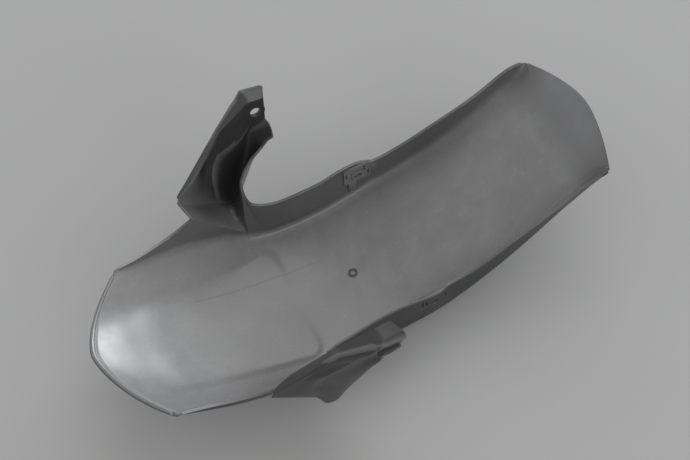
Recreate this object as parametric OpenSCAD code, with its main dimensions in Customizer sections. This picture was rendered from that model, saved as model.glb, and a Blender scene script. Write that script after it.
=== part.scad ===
// Motorcycle front fender, moulded in one piece with two side arms and two side clips.
// It lies on its back with its hollow side up. X runs to the rear, Y to the side, Z up.
// The shell is laid out round the wheel axis: an angle of 0 is the lowest place of the
// crown as it was drawn, and angles grow to the rear. Points are [half width, angle, radius]
// or [half width, back, down], measured from the wheel axis.

/* [Crown] */
// Inner radius of the crown on the centre line, round the wheel axis
crown_r = 318; // [300:1:336]
// Thickness of the moulded wall
wall = 2.5; // [2.2:0.1:3.5]
// Angle of the front corners, to the front of straight down
front_angle = 44.2; // [42:0.2:46]
// How far the front tip runs ahead of its corners, in degrees
tip_ahead = 8; // [4:0.2:11]
// Angle of the rear corners, to the rear of straight down
rear_angle = 46.4; // [44:0.2:50]
// How far the rear edge runs behind its corners, in degrees
tail_behind = 3.7; // [0:0.1:6]
// Height of the crown's arch across the front corners
front_arch = 13.5; // [6:0.5:18]
// Height of the crown's arch at the shoulders, under the arms
shoulder_arch = 19; // [12:0.5:22]
// Height of the crown's arch over the middle
middle_arch = 6; // [3:0.5:10]

/* [Half widths of the shell] */
// At the front corners
front_half = 75; // [70:0.5:79]
// At the shoulders, under the arms
shoulder_half = 84; // [80:0.5:88]
// At the rim where an arm begins
apex_half = 93; // [89:0.5:97]
// Between the fork legs
waist_half = 77; // [73:0.5:79]
// At the side clips
clip_half = 78; // [75:0.5:80]
// At the rear
rear_half = 67; // [60:0.5:70]

/* [Side walls] */
// Height of the side wall at the front of an arm
apex_height = 35; // [28:1:40]
// Height of the side wall between the fork legs
waist_height = 57; // [48:1:62]
// Height of the side wall near the rear
rear_height = 20; // [12:1:26]
// Radius of the bend from the crown to the side wall
fold_r = 9; // [5:0.5:12]

/* [Front panel and edge bead] */
// Depth of the panel pressed into the front of the crown
panel_depth = 2.2; // [1:0.1:3]
// Half width of the panel at its rear end
panel_half = 64; // [56:0.5:68]
// Angle of the panel's rear end, to the front of straight down
panel_end = 13.5; // [11:0.5:16]
// Height of the bead along the front edge
bead_height = 1.6; // [0.8:0.1:2.5]
// Width of the bead
bead_width = 4; // [3:0.5:6]

/* [Arms] */
// Half width over the arm tips
arm_half = 134; // [128:1:140]
// Distance of the arm holes in front of the wheel axis
hole_ahead = 28; // [26:0.5:30]
// Distance of the arm holes below the wheel axis
hole_drop = 168; // [164:0.5:170]
// Bore of the arm holes
arm_bore = 10.5; // [6:0.5:12]
// Outer diameter of the seat round an arm hole
seat_d = 20; // [16:0.5:22]
// How far the seat stands out of the arm
seat_height = 2.5; // [1:0.1:4]
// Lean of the arm's tip with its seat and bore, in from the upper edge
tip_lean = 10.5; // [7:0.5:14]
// Depth of the arm's return flange along its lower front edge
flange_depth = 5.5; // [4:0.5:8]
// Depth of the closed tip
tip_depth = 14; // [10:0.5:17]
// How much shorter the tip is along its inner edge
tip_slant = 5.5; // [0:0.5:8]
// How far the pocket at the arm's rear bulges out of its plate
pocket_depth = 6; // [2:0.5:9]
// Depth of the arm's rear flange at its upper end
rear_flange = 18; // [12:0.5:22]

/* [Side clips] */
// Angle of the clip's bore, to the rear of straight down
clip_angle = 7.9; // [6:0.1:10]
// Radius of the clip's bore from the wheel axis
clip_r = 277; // [274:0.5:281]
// Bore of the side clips
clip_bore = 8; // [5:0.5:9]
// Length of the clip along the side wall
clip_len = 30; // [24:0.5:36]
// Thickness of the clip's frame on the side wall
clip_thick = 1.5; // [1:0.1:3]
// Width of the clip's slots
slot_w = 2; // [1.5:0.1:2.5]

/* [Gate mark] */
// Outer diameter of the round mark that the moulding gate leaves
gate_d = 10; // [6:0.5:14]
// Depth of the mark
gate_depth = 0.8; // [0.4:0.1:1.5]
// Angle of the mark, to the front of straight down
gate_angle = 2.3; // [0:0.1:6]

/* [Rest] */
// Tilt round the wheel axis at which the fender comes to rest on its back
rest_tilt = 4; // [0:0.1:12]

/* [Hidden] */
bore_fn = 48;
plastic = "dimgray";

degree = crown_r * PI / 180;
apex_a = -28.9;
keel_a = -17.5;
root_end_a = -13;
fold_floor = crown_r - middle_arch;
panel_taper = 0.55;
panel_corner = 16;
panel_step = 9;

// Drop of the crown at the fold, radius of the fold and power of the arch, by angle.
crown_table = [
    [-front_angle, front_arch, fold_r, 2.4],
    [-38, 0.5 * (front_arch + shoulder_arch), fold_r, 3],
    [-30, shoulder_arch, fold_r, 3.4],
    [-22, 0.75 * shoulder_arch + 0.25 * middle_arch, fold_r, 3.4],
    [-14, middle_arch + 0.5, fold_r, 2.8],
    [20, middle_arch, fold_r, 2.2],
    [rear_angle, middle_arch - 2, 2 * fold_r, 2.2]
];

// Half width of the fold, by angle.
fold_table = [
    [-front_angle, front_half - 1],
    [-36, 0.3 * front_half + 0.7 * shoulder_half],
    [-30, shoulder_half],
    [-22, shoulder_half],
    [-14, waist_half + 1.5],
    [-4, waist_half],
    [clip_angle - 0.9, clip_half],
    [clip_angle + 4.1, clip_half - 0.5],
    [22, 0.6 * clip_half + 0.4 * rear_half],
    [36, rear_half + 1],
    [rear_angle, rear_half]
];

// Rim in front of the arm: crown angle, then half width, radius and angle of the rim.
front_rim = [
    [-front_angle, front_half, crown_r - front_arch - 2, -front_angle],
    [-40, front_half + 4, crown_r - front_arch - 12, -40],
    [-34, apex_half - 6.5, crown_r - front_arch - 26, -34],
    [apex_a, apex_half, crown_r - shoulder_arch - apex_height, apex_a]
];

// Root of the arm: down the groove to the keel, then up the rear face of the arm.
apex_rho = crown_r - shoulder_arch - apex_height;
apex = [apex_half, apex_rho * sin(apex_a), apex_rho * cos(apex_a)];
keel_foot = [0.5 * (shoulder_half + waist_half) + 2.5, -87.5, 291];
root_end = [waist_half + 13, -74, fold_floor - 87];

// Rim behind the arm.
rear_rim = [
    [root_end_a, root_end[0], norm([root_end[1], root_end[2]]), atan2(root_end[1], root_end[2])],
    [-12, waist_half + 7, fold_floor - 62, -16.9],
    [-10.8, waist_half + 2.5, fold_floor - waist_height - 1, -14.4],
    [-8.5, waist_half, fold_floor - waist_height + 1.5, -10.6],
    [-4, waist_half - 1.8, fold_floor - waist_height, -4.3],
    [0, waist_half - 2, fold_floor - waist_height, 0],
    [clip_angle - 2.9, clip_half - 0.8, clip_r - 20.5, clip_angle - 2.9],
    [clip_angle + 1.6, clip_half, clip_r - 14, clip_angle + 1.6],
    [clip_angle + 4.1, clip_half - 3.5, clip_r - 8, clip_angle + 4.1],
    [18, clip_half - 4, fold_floor - waist_height + 20.5, 18],
    [27, rear_half + 5, fold_floor - rear_height - 12, 27],
    [36, rear_half + 3, fold_floor - rear_height - 3, 36],
    [rear_angle - 4, rear_half + 2, fold_floor - rear_height + 3, rear_angle - 4],
    [rear_angle - 1.7, rear_half + 2, fold_floor - rear_height + 9, rear_angle - 1.7],
    [rear_angle, rear_half + 2, fold_floor, rear_angle]
];

// Corners of the arm's inner surface. A ridge parts the plate from the pocket behind it.
arm_in = arm_half - wall;
function leaning(low) = arm_in - low * tan(tip_lean);
tip_front = [arm_in, -hole_ahead - 4, hole_drop - 30];
tip_rear = [arm_in - 0.5, -hole_ahead + 15, hole_drop - 23.5];
tip_low = [leaning(38), -hole_ahead + 6, hole_drop + 13];
lead_low = [103, -130.5, 211];
lead_up = [104, -127, 204];
lead_dot = [118, -64, 150.5];
ridge_line = [
    [109.5, -98, 257.5],
    [113, -94.5, 237],
    [113.2, -90.5, 215.5],
    [114.3, -84.5, 199.5],
    [117, -76.5, 190],
    [118.6, -63, 189.5],
    [120, -49.5, 185.5],
    [leaning(38), -36.5, 179.5],
    tip_low
];
ridge_shares = [0, 0.1, 0.22, 0.33, 0.43, 0.56, 0.7, 0.86, 1];
ridge_pull = 1.45;
arm_edge = [
    root_end,
    [94, -71, 212],
    [100, -63, 206],
    [104.5, -52.5, 200],
    [108, -36, 193.5],
    [tip_low[0] - rear_flange, -24.5, 185]
];

// Stations across the shell, as shares of the flat part of the crown, the bend and the wall.
crown_cols = [0, 0.2, 0.4, 0.55, 0.65, 0.73, 0.8, 0.9, 1];
bend_cols = [0.3, 0.65, 1];
wall_cols = [0.35, 0.7, 1];
main_cols = len(crown_cols) + len(bend_cols) + len(wall_cols);

// Stations on an arm, as shares of the way from the root to the ridge and on to the edge.
foot_cols = [0.12, 0.5, 0.85, 1];
plate_cols = [0.05, 0.14, 0.26, 0.38, 0.5, 0.6, 0.7, 0.79, 0.87, 0.94, 1];
flange_cols = [0.12, 0.5, 1];
plate_rows = [0, 0.1, 0.22, 0.36, 0.44, 0.52, 0.6, 0.68, 0.76, 0.82, 0.88, 0.94, 1];
flange_end = 0.76;
rear_rows = [0.1, 0.22, 0.36, 0.5, 0.65, 0.82, 1];

function lerp(a, b, t) = a + (b - a) * t;
function clamp(t) = max(0, min(1, t));
function ease(t) = let (u = clamp(t)) u * u * (3 - 2 * u);
function unit(v) = v / max(norm(v), 1e-9);
function polar(p) = [p[0], p[1] * sin(p[2]), p[1] * cos(p[2])];

// A smooth curve through the rows of a table, read at its first column.
function slope(tab, i) =
    let (lo = max(i - 1, 0), hi = min(i + 1, len(tab) - 1))
    (tab[hi] - tab[lo]) / (tab[hi][0] - tab[lo][0]);
function curve(tab, a) =
    let (
        i = max([0, for (k = [1:1:len(tab) - 2]) if (a >= tab[k][0]) k]),
        d = tab[i + 1][0] - tab[i][0],
        t = clamp((a - tab[i][0]) / d)
    )
    (2 * pow(t, 3) - 3 * t * t + 1) * tab[i]
    + (pow(t, 3) - 2 * t * t + t) * d * slope(tab, i)
    + (3 * t * t - 2 * pow(t, 3)) * tab[i + 1]
    + (pow(t, 3) - t * t) * d * slope(tab, i + 1);

// A point on a chain of straight runs, at a share of the way given for each of its points.
function chain(points, shares, t) =
    let (
        i = max([0, for (k = [1:1:len(points) - 2]) if (t >= shares[k]) k]),
        u = clamp((t - shares[i]) / (shares[i + 1] - shares[i]))
    )
    lerp(points[i], points[i + 1], u);

// Angle of the crown ahead of or behind its corners, at a share of the half width.
function front_shift(a, s) =
    tip_ahead * (1 - pow(s, 1.5)) * ease((-26 - a) / (front_angle - 26));
function rear_shift(a, s) =
    tail_behind * (1 - pow(s, 1.6)) * ease((a - 30) / (rear_angle - 30));

// Share of the panel's depth at a half width and an angle. The panel narrows to the front,
// its rear corners are round, and its rear step fades towards the centre line.
function panel(x, a) =
    let (
        side = panel_half + (a + panel_end) * panel_taper,
        to_side = side - x,
        to_rear = (-panel_end - a) * degree,
        short_side = max(panel_corner - to_side, 0),
        short_rear = max(panel_corner - to_rear, 0),
        inside = panel_corner - norm([short_side, short_rear]),
        middle = 0.45 * ease(to_rear / 70)
    )
    ease(inside / panel_step + 0.5) * ease((a + front_angle) / 7)
    * lerp(middle, 1, pow(clamp(x / side), 2));

// One station of the shell, from the centre line out to the rim point.
function shell_row(a, rim) =
    let (
        section = curve(crown_table, a),
        half = curve(fold_table, a)[1],
        corner = [half, crown_r - section[1]],
        out = [rim[0], rim[1]] - corner,
        bend = min(section[2], 0.6 * norm(out)),
        flat = half - bend,
        top = [flat, crown_r - section[1] * pow(flat / half, section[3])],
        low = corner + unit(out) * bend,
        turn = bend / max(norm(out), 1e-6)
    )
    concat(
        [for (s = crown_cols)
            let (x = s * flat, share = x / half,
                angle = a - front_shift(a, share) + rear_shift(a, share))
            polar([x, crown_r - section[1] * pow(share, section[3])
                + panel_depth * panel(x, angle), angle])],
        [for (s = bend_cols)
            let (p = lerp(lerp(top, corner, s), lerp(corner, low, s), s),
                share = min(1, flat / half + s * (1 - flat / half)),
                angle = lerp(a, rim[2], s * turn))
            polar([p[0], p[1], angle - front_shift(a, share) + rear_shift(a, share)])],
        [for (s = wall_cols)
            let (p = lerp(low, [rim[0], rim[1]], s))
            polar([p[0], p[1], lerp(a, rim[2], turn + s * (1 - turn))])]
    );

// The plate's rear side along the ridge, and its leading edge.
function ridge(t) = chain(ridge_line, ridge_shares, t);
function lead_edge(s) =
    chain([lead_up, lead_dot, tip_front, tip_rear, tip_low], [0, 0.36, 0.6, flange_end, 1], s);
function flange_at(s) = [
    lookup(s, [[0, flange_depth], [0.36, flange_depth], [0.6, tip_depth], [1, tip_depth]]),
    lookup(s, [[0, 0], [0.6, 0], [flange_end, tip_slant]]),
    lookup(s, [[0, 0], [0.6, 0], [flange_end, tip_slant * 0.6]])
];

// The plate runs from the low ridge to the leading edge, and bends only near the pocket.
function plate(s, t) =
    lerp(lerp(lead_low, ridge_line[0], s), lead_edge(s), t)
    + (ridge(t) - lerp(ridge_line[0], tip_low, t)) * pow(s, ridge_pull);

// The rows that carry an arm: root point first, then out over the ridge to the free edge.
function groove_point(s) = lerp(apex, keel_foot, s);
function plate_row(s) =
    let (root = groove_point(s))
    concat(
        [for (t = foot_cols) lerp(root, lerp(lead_low, ridge_line[0], s), t)],
        [for (t = plate_cols) plate(s, t)],
        s > flange_end ? [] :
            [for (t = flange_cols) lead_edge(s) - flange_at(s) * t]
    );
function edge_at(t) = chain(arm_edge, [0, 0.12, 0.3, 0.5, 0.78, 1], t);

// The pocket: one bowed sheet from the ridge round the keel to the free edge.
pocket_low = [112.5 + 0.5 * pocket_depth, -84, 274];
pocket_up = [leaning(46) + 0.4 * pocket_depth, -39, 189];
pocket_tip = [0.5 * (tip_low[0] + arm_edge[5][0]) + 1, -21.5, 184.5];
function bowed(a, through, b, s) =
    let (pull = 2 * through - 0.5 * (a + b))
    lerp(lerp(a, pull, s), lerp(pull, b, s), s);
function pocket(t) = chain([pocket_low, pocket_up, pocket_tip], [0, 0.88, 1], t);
function rear_row(s) =
    concat(
        [for (t = foot_cols)
            let (a = lerp(keel_foot, ridge_line[0], t), b = lerp(root_end, edge_at(0.12), t))
            bowed(a, lerp(0.5 * (a + b), pocket_low, pow(t, 1.5)), b, s)],
        [for (t = plate_cols) bowed(ridge(t), pocket(t), edge_at(0.12 + 0.88 * t), s)]
    );
function root_at(s) = s <= 1 ? groove_point(s) : lerp(keel_foot, root_end, s - 1);
function root_rim(p) = [p[0], norm([p[1], p[2]]), atan2(p[1], p[2])];

// Crown angles of the stations.
bead_rows = [0, 0.45, 0.75, 1.1];
front_rows = concat(
    [for (s = bead_rows) -front_angle + s * bead_width / degree],
    [for (a = [-42:1.9:-30]) a]
);
rear_rows_a = concat(
    [-12, -10.8, -9.6],
    [for (a = [-8:2.4:rear_angle - 6]) a],
    [for (s = [6:-1.5:0]) rear_angle - s]
);

shell_rows = concat(
    [for (a = front_rows) let (rim = curve(front_rim, a)) shell_row(a, [rim[1], rim[2], rim[3]])],
    [for (s = plate_rows)
        concat(shell_row(lerp(apex_a, keel_a, s), root_rim(root_at(s))), plate_row(s))],
    [for (s = rear_rows)
        concat(shell_row(lerp(keel_a, root_end_a, s), root_rim(root_at(1 + s))), rear_row(s))],
    [for (a = rear_rows_a) let (rim = curve(rear_rim, a)) shell_row(a, [rim[1], rim[2], rim[3]])]
);
row_count = len(shell_rows);

// Share of the edge bead that a row carries.
function bead_at(i) = i < 2 ? 1 : i == 2 ? 0.6 : 0;

// The facets round a point give the direction of the wall's thickness there, and the
// offset grows at a ridge so that the walls beside it keep their thickness.
min_lean = 0.62;
function has(rows, i, j) = i >= 0 && i < len(rows) && j >= 0 && j < len(rows[i]);
function vsum(v) = len(v) == 0 ? 0 : v * [for (x = v) 1];
function facet(rows, i, j) =
    has(rows, i, j) && has(rows, i + 1, j) && has(rows, i, j + 1) && has(rows, i + 1, j + 1) && j >= 0
    ? [unit(cross(rows[i][j + 1] - rows[i + 1][j], rows[i + 1][j + 1] - rows[i][j]))]
    : [];
function normal(rows, i, j) =
    let (
        n0 = concat(facet(rows, i - 1, j - 1), facet(rows, i - 1, j),
            facet(rows, i, j - 1), facet(rows, i, j)),
        sum = [for (k = [0:2]) (j == 0 && k == 0) ? 0 : vsum([for (n = n0) n[k]])],
        n = unit(sum),
        lean = min([for (f = n0) n * f])
    )
    n / max(lean, min_lean);

// The arm's ridges rounded by one pass of averaging with the neighbours.
function rounded(rows) =
    [for (i = [0:len(rows) - 1])
        [for (j = [0:len(rows[i]) - 1])
            j < main_cols - 1 || j == len(rows[i]) - 1 || !has(rows, i - 1, j) || !has(rows, i + 1, j)
                || len(rows[i]) == main_cols
            ? rows[i][j]
            : 0.5 * rows[i][j] + 0.125 * (rows[i - 1][j] + rows[i + 1][j]
                + rows[i][j - 1] + rows[i][j + 1])]];

inner = rounded(shell_rows);
outer = [for (i = [0:row_count - 1])
    [for (j = [0:len(inner[i]) - 1])
        inner[i][j] + (wall + bead_at(i) * bead_height) * normal(inner, i, j)]];

// From the wheel axis frame to the frame in which the fender lies.
all_back = [for (row = outer) for (p = row) p[1] * cos(rest_tilt) + p[2] * sin(rest_tilt)];
all_down = [for (row = outer) for (p = row) p[2] * cos(rest_tilt) - p[1] * sin(rest_tilt)];
rest_x = -0.5 * (min(all_back) + max(all_back));
rest_z = max(all_down);
function lie(p, side) = [
    p[1] * cos(rest_tilt) + p[2] * sin(rest_tilt) + rest_x,
    side * p[0],
    p[1] * sin(rest_tilt) - p[2] * cos(rest_tilt) + rest_z
];

// Places children on one side, drawn with x to the back, y outward and z up from the axis.
module on_axis(side) {
    translate([rest_x, 0, rest_z])
        rotate([0, -rest_tilt, 0])
            mirror([0, side < 0 ? 1 : 0, 0])
                children();
}

// Closes two surfaces of ragged rows into one wall, on both sides of the centre line.
starts = [for (i = 0, n = 0; i < row_count; n = n + len(inner[i]), i = i + 1) n];
skin_count = starts[row_count - 1] + len(inner[row_count - 1]);
function id(skin, side, i, j) =
    starts[i] + j + skin_count * (skin + (side < 0 && j > 0 ? 2 : 0));
function quad(a, b, c, d, turn) =
    turn ? [[a, b, c], [a, c, d]] : [[c, b, a], [d, c, a]];
function skin_faces(skin, side, turn) =
    [for (i = [0:row_count - 2])
        for (j = [0:min(len(inner[i]), len(inner[i + 1])) - 2])
            each quad(id(skin, side, i, j), id(skin, side, i, j + 1),
                id(skin, side, i + 1, j + 1), id(skin, side, i + 1, j), turn)];
function edge_strip(side, i, j, k, l, turn) =
    quad(id(0, side, i, j), id(0, side, k, l), id(1, side, k, l), id(1, side, i, j), turn);
function rim_faces(side, turn) = concat(
    [for (j = [0:len(inner[0]) - 2]) each edge_strip(side, 0, j, 0, j + 1, turn)],
    [for (j = [0:len(inner[row_count - 1]) - 2])
        each edge_strip(side, row_count - 1, j + 1, row_count - 1, j, turn)],
    [for (i = [0:row_count - 2])
        let (a = len(inner[i]), b = len(inner[i + 1]), m = min(a, b))
        each concat(
            [for (j = [m:1:a - 1]) each edge_strip(side, i, j, i, j - 1, turn)],
            edge_strip(side, i, m - 1, i + 1, m - 1, turn),
            [for (j = [m:1:b - 1]) each edge_strip(side, i + 1, j - 1, i + 1, j, turn)]
        )]
);

module shell() {
    polyhedron(
        points = [
            for (side = [1, -1])
                for (skin = [inner, outer])
                    for (row = skin)
                        for (p = row) lie(p, side)
        ],
        faces = concat(
            skin_faces(0, 1, true), skin_faces(1, 1, false), rim_faces(1, false),
            skin_faces(0, -1, false), skin_faces(1, -1, true), rim_faces(-1, true)
        ),
        convexity = 12
    );
}

// The bolt seats outside the arms, square to the leaning bore.
seat_in = leaning(hole_drop - tip_front[2]) + 0.4;
module at_seat() {
    translate([-hole_ahead, seat_in + 0.5 * wall, -hole_drop])
        rotate([-90 - tip_lean, 0, 0])
            children();
}
module arm_seat() {
    at_seat()
        cylinder(h = 0.5 * wall + seat_height, d = seat_d, $fn = bore_fn);
}
module arm_hole() {
    at_seat()
        translate([0, 0, -2 * wall])
            cylinder(h = 4 * wall + 2 * seat_height, d = arm_bore, $fn = bore_fn);
}

// The clips inside the side walls, drawn with x along the wall and z up from the axis.
clip_in = clip_half - 1.2;
clip_top = clip_r - 0.5 * clip_bore - 9;
clip_low = clip_r + 0.5 * clip_bore + 8;
clip_foot = clip_low + 15;
pad_len = clip_bore + 8;
pad_rise = 1.5;
finger_w = 9;
slot_len = 11;
slot_gap = 2.7;
clip_sink = 0.6 * wall;
cut_lead = clip_thick + 2 * pad_rise;
cut_len = cut_lead + 3 * wall;
module at_clip() {
    rotate([0, -clip_angle, 0])
        children();
}
module clip_block(x, width, top, low, thick) {
    translate([x - width / 2, clip_in - thick, -low])
        cube([width, thick + clip_sink, low - top]);
}
module clip() {
    at_clip() {
        clip_block(0, clip_len, clip_top, clip_low, clip_thick);
        clip_block(0, pad_len, clip_r - pad_len / 2, clip_r + pad_len / 2, clip_thick + pad_rise);
        clip_block(finger_w - clip_len / 2, finger_w, clip_low - 1, clip_foot, clip_thick);
    }
}
module clip_cuts() {
    at_clip() {
        translate([0, clip_in - cut_lead, -clip_r])
            rotate([-90, 0, 0])
                cylinder(h = cut_len, d = clip_bore, $fn = bore_fn);
        for (x = [slot_gap - clip_len / 2, clip_len / 2 - slot_gap, clip_len / 2 - slot_gap - slot_w - 1.5])
            translate([x - slot_w / 2, clip_in - cut_lead, -clip_r - 2])
                cube([slot_w, cut_len, slot_len]);
    }
}

// The round mark of the moulding gate: a ring sunk into the inner face round a nub.
module gate_ring() {
    rotate([0, gate_angle, 0])
        translate([0, 0, -crown_r - gate_depth])
            difference() {
                cylinder(h = 4 * gate_depth, d = gate_d, $fn = bore_fn);
                translate([0, 0, -gate_depth])
                    cylinder(h = 6 * gate_depth, d = 0.45 * gate_d, $fn = bore_fn);
            }
}

module fender() {
    color(plastic)
        difference() {
            union() {
                shell();
                for (side = [1, -1])
                    on_axis(side) {
                        arm_seat();
                        clip();
                    }
            }
            for (side = [1, -1])
                on_axis(side) {
                    arm_hole();
                    clip_cuts();
                }
            on_axis(1)
                gate_ring();
        }
}

fender();
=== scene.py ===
import math

import bmesh
import bpy
import numpy as np
from mathutils import Matrix, Vector
from mathutils.kdtree import KDTree


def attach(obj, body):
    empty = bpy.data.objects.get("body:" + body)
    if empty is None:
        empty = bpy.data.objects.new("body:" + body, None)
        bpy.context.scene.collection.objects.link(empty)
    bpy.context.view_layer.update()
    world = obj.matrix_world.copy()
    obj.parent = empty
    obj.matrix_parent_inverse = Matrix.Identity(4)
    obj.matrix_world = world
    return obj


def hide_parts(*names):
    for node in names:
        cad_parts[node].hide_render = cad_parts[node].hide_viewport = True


bl_info = {
    "name": "Moulded front fender",
    "version": (1, 0, 0),
    "blender": (4, 5, 0),
    "location": "View3D > Sidebar > Fender",
    "description": "A motorcycle front fender, moulded in one piece, lying on its back",
    "category": "Object",
}

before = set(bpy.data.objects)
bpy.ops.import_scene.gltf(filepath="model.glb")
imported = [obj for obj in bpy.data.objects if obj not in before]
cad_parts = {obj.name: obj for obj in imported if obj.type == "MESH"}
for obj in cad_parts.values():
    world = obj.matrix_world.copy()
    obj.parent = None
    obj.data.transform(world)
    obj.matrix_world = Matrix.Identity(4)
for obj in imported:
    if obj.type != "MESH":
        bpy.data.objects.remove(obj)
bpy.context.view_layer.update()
MM = 0.001
NODE = "fender"
BODY = "root"


# Sizes, in millimetres and in degrees round the wheel axis.
class FenderSizes(bpy.types.PropertyGroup):
    """Sizes of the moulded shell, its arms and its clips"""

    crown_r: bpy.props.FloatProperty(
        name="Crown radius", description="Inner radius of the crown, in millimetres",
        default=318.0, min=300.0, max=336.0)
    wall: bpy.props.FloatProperty(
        name="Wall", description="Thickness of the moulded wall, in millimetres",
        default=2.5, min=2.0, max=3.5)
    front_angle: bpy.props.FloatProperty(
        name="Front corners", description="Angle of the front corners ahead of straight down",
        default=44.2, min=42.0, max=46.0)
    tip_ahead: bpy.props.FloatProperty(
        name="Front tip", description="Degrees by which the tip runs ahead of its corners",
        default=8.0, min=4.0, max=11.0)
    rear_angle: bpy.props.FloatProperty(
        name="Rear corners", description="Angle of the rear corners behind straight down",
        default=46.4, min=44.0, max=50.0)
    tail_behind: bpy.props.FloatProperty(
        name="Tail", description="Degrees by which the tail runs behind its corners",
        default=3.7, min=0.0, max=6.0)
    panel_depth: bpy.props.FloatProperty(
        name="Panel depth", description="Depth of the front panel, in millimetres",
        default=2.2, min=1.0, max=3.0)
    bead_height: bpy.props.FloatProperty(
        name="Bead height", description="Height of the front edge's bead, in millimetres",
        default=1.6, min=0.8, max=2.5)
    arm_half: bpy.props.FloatProperty(
        name="Arm reach", description="Half width over the arm tips, in millimetres",
        default=134.0, min=128.0, max=140.0)
    tip_lean: bpy.props.FloatProperty(
        name="Tip lean", description="Degrees by which the arm's tip leans in",
        default=10.5, min=7.0, max=14.0)
    pocket_depth: bpy.props.FloatProperty(
        name="Pocket depth",
        description="Bulge of the pocket behind the arm's ridge, in millimetres",
        default=3.5, min=2.0, max=9.0)
    edge_round: bpy.props.FloatProperty(
        name="Edge rounding", description="Radius on the rims and corners, in millimetres",
        default=0.5, min=0.1, max=1.0)
    arm_bore: bpy.props.FloatProperty(
        name="Arm bore", description="Diameter of the arm holes, in millimetres",
        default=10.5, min=6.0, max=12.0)
    clip_bore: bpy.props.FloatProperty(
        name="Clip bore", description="Diameter of the clip holes, in millimetres",
        default=8.0, min=5.0, max=9.0)


class FenderColours(bpy.types.PropertyGroup):
    """Colours of the plastic, its chalky film with the painted light laid into it, and the floor"""

    plastic: bpy.props.FloatVectorProperty(
        name="Plastic", description="Colour of the clean moulded plastic",
        subtype="COLOR", size=3, min=0.0, max=1.0, default=(0.029, 0.0294, 0.0305))
    # Also the colour of the painted light on the walls' inner faces and of the painted highlights
    # along the arms' ridges.
    haze_and_painted_light: bpy.props.FloatVectorProperty(
        name="Haze", description="Colour of the chalky haze on the crown's inner face",
        subtype="COLOR", size=3, min=0.0, max=1.0, default=(0.215, 0.215, 0.219))
    # Also the colour of the painted light towards the crown's front and of the painted highlights
    # along the rims.
    scuff_and_highlight: bpy.props.FloatVectorProperty(
        name="Scuffs", description="Colour of the palest scuffs in the haze",
        subtype="COLOR", size=3, min=0.0, max=1.0, default=(0.34, 0.34, 0.345))
    floor: bpy.props.FloatVectorProperty(
        name="Floor", description="Colour of the plain floor",
        subtype="COLOR", size=3, min=0.0, max=1.0, default=(0.4, 0.4, 0.4))


def sizes():
    return bpy.context.scene.fender_sizes


def colours():
    return bpy.context.scene.fender_colours


# Small helpers for curves and tables.
def lerp(a, b, t):
    return a + (b - a) * t


def clamp(t):
    return max(0.0, min(1.0, t))


def ease(t):
    u = clamp(t)
    return u * u * (3 - 2 * u)


def unit(v):
    return v / max(np.linalg.norm(v), 1e-9)


def vec(*v):
    return np.array(v, float)


def polar(half, radius, angle):
    a = math.radians(angle)
    return vec(half, radius * math.sin(a), radius * math.cos(a))


def curve(table, a):
    """A smooth curve through the rows of a table, read at its first column."""
    rows = np.array(table, float)
    i = 0
    for k in range(1, len(rows) - 1):
        if a >= rows[k][0]:
            i = k
    d = rows[i + 1][0] - rows[i][0]
    t = clamp((a - rows[i][0]) / d)

    def slope(k):
        lo, hi = max(k - 1, 0), min(k + 1, len(rows) - 1)
        return (rows[hi] - rows[lo]) / (rows[hi][0] - rows[lo][0])

    return ((2 * t**3 - 3 * t * t + 1) * rows[i] + (t**3 - 2 * t * t + t) * d * slope(i)
            + (3 * t * t - 2 * t**3) * rows[i + 1] + (t**3 - t * t) * d * slope(i + 1))


def chain(points, shares, t):
    """A point on straight runs, at a share of the way given for each of its points."""
    i = 0
    for k in range(1, len(points) - 1):
        if t >= shares[k]:
            i = k
    u = clamp((t - shares[i]) / (shares[i + 1] - shares[i]))
    return lerp(points[i], points[i + 1], u)


def look_up(t, table):
    return float(np.interp(t, [r[0] for r in table], [r[1] for r in table]))


# Half widths from the front to the rear, at the fold between crown and side wall and, for
# the apex where the arm starts, on the rim.
FRONT_HALF, SHOULDER_HALF, APEX_HALF = 75.0, 84.0, 93.0
WAIST_HALF, CLIP_HALF, REAR_HALF = 77.0, 78.0, 67.0
# Drop of the crown's arch at the fold, heights of the side walls, and the fold's radius.
FRONT_ARCH, SHOULDER_ARCH, MIDDLE_ARCH = 13.5, 19.0, 6.0
APEX_HEIGHT, WAIST_HEIGHT, REAR_HEIGHT, FOLD_R = 35.0, 57.0, 20.0, 9.0
# Angles from which the front and rear edges curve out, and how sharply they do.
FRONT_FROM, FRONT_SWEEP, REAR_FROM, REAR_SWEEP = 26.0, 1.5, 30.0, 1.6
# The panel pressed into the crown, and its depth and fade along the centre line.
PANEL_HALF, PANEL_END, PANEL_TAPER, PANEL_CORNER, PANEL_STEP = 64.0, 13.5, 0.55, 16.0, 9.0
PANEL_MIDDLE, PANEL_FADE, PANEL_FRONT = 0.45, 70.0, 7.0
# The front edge's bead, in bead widths from the edge, and the fine lip inside it.
BEAD_WIDTH, BEAD_END, BEAD_FALL, FADE_COLS, FADE_LEFT = 4.0, 1.1, 0.5, 22, 0.05
LIP = [[0, 0.7], [0.35, 0.7], [0.6, 0], [0.75, -0.35], [0.9, -0.35], [1.1, 0]]
# The arms: bolt hole, seat, flanges, and the angles at which their parts leave the wall.
HOLE_AHEAD, HOLE_DROP, SEAT_D, SEAT_HEIGHT, BORE_SEGMENTS = 28.0, 168.0, 20.0, 2.5, 96
FLANGE_DEPTH, TIP_DEPTH, TIP_SLANT, REAR_FLANGE = 5.5, 14.0, 5.5, 18.0
APEX_A, KEEL_A, ROOT_END_A, FLANGE_END = -28.9, -17.5, -13.0, 0.76
RIDGE_SHARES = [0, 0.1, 0.22, 0.33, 0.43, 0.56, 0.7, 0.86, 1]
RIDGE_PULL, MIN_LEAN = 1.45, 0.62
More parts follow.
